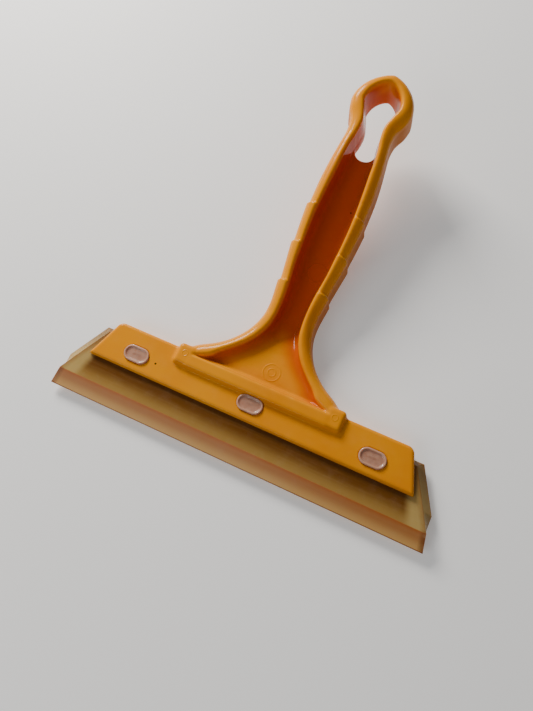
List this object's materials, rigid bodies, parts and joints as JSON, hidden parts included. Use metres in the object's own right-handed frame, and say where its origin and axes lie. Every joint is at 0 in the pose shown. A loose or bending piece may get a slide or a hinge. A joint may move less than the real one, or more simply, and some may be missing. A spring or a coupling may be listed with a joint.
{
  "type": "squeegee applicator",
  "caption": "Hand squeegee with a one-piece trough handle ending in a hanging loop, a wide trapezoid bar, a flexible bevelled blade in its slot and oval retaining studs.",
  "frame": {"origin": "centre of the bounding box on the resting plane that the flat back of the bar and foot lies on", "axes": "+X along the blade, +Y from the blade's working edge to the hanging loop, +Z out of the open side of the trough"},
  "size_m": [0.2, 0.21, 0.0429],
  "materials": {
    "moulded_plastic": "glossy yellow-orange moulded plastic, slightly translucent",
    "blade_urethane": "translucent amber polyurethane with a ground bevel",
    "stud_urethane": "translucent rose moulded urethane"
  },
  "bodies": {
    "holder": {"handle": "moulded_plastic", "blade_root": "blade_urethane", "stud_left": "stud_urethane", "stud_middle": "stud_urethane", "stud_right": "stud_urethane"},
    "lip": {"blade_lip": "blade_urethane"}
  },
  "joints": [
    {"name": "blade_flex", "type": "hinge", "parent": "holder", "child": "lip", "pos_m": [0, -0.09, 0.0052], "axis": [1, 0, 0], "range_deg": [-20, 20], "stiffness_Nm_per_rad": 2}
  ]
}
